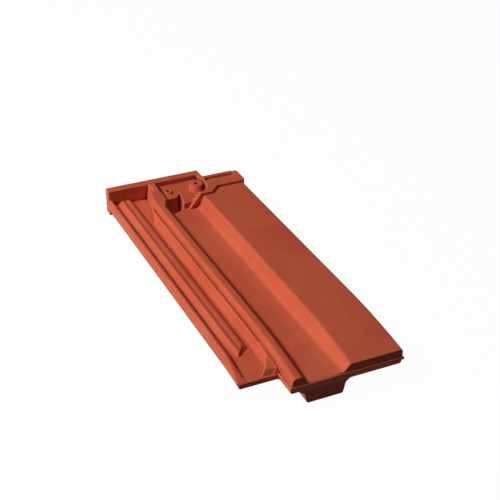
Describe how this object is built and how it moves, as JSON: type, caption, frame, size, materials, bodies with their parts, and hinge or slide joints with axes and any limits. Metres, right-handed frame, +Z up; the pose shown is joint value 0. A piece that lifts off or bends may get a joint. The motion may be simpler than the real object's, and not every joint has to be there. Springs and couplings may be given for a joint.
{
  "type": "half pantile roof tile",
  "caption": "Interlocking half pantile in terracotta clay: wide flat roll, pan, narrow roll and ribbed side lock, with a head wall, nail boss, trough, hanging nibs and foot rib.",
  "frame": {"origin": "centre of the bounding box at floor level, tile lying as it is stored: on its foot rib and hanging nibs", "axes": "+Y from the foot edge to the head wall, +Z up through the weather side, +X from the side lock to the cover roll"},
  "size_m": [0.1704, 0.4334, 0.0485],
  "materials": {
    "terracotta": "natural fired clay, fine matt to satin engobe"
  },
  "bodies": {
    "root": {"half_pantile": "terracotta"}
  },
  "joints": []
}
